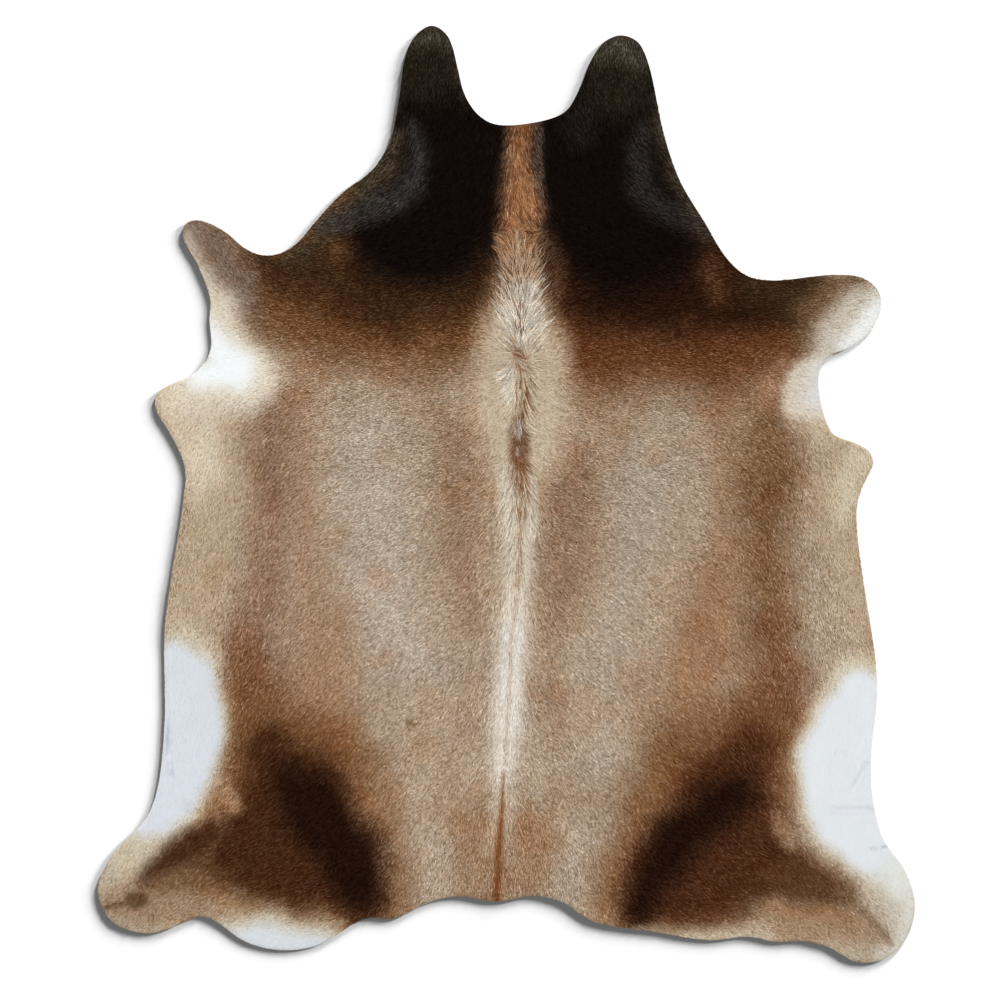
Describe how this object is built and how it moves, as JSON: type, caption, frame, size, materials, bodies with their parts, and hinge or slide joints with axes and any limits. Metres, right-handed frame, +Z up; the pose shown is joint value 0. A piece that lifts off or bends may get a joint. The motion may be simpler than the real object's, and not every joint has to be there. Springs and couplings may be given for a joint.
{
  "type": "cowhide rug",
  "caption": "Whole cowhide rug lying flat, hair side up, with the lobed outline of neck, forelegs, flanks and hind legs.",
  "frame": {"origin": "on the floor, under the middle of the hide's outline", "axes": "+Y towards the neck, +X to the right as seen from above, +Z up out of the hair side"},
  "size_m": [1.8748, 2.15, 0.007],
  "materials": {
    "hide": "short lying cow hair, taupe brown with a dark neck and hips, white flanks and a pale spine line"
  },
  "bodies": {
    "root": {"hide": "hide"}
  },
  "joints": []
}
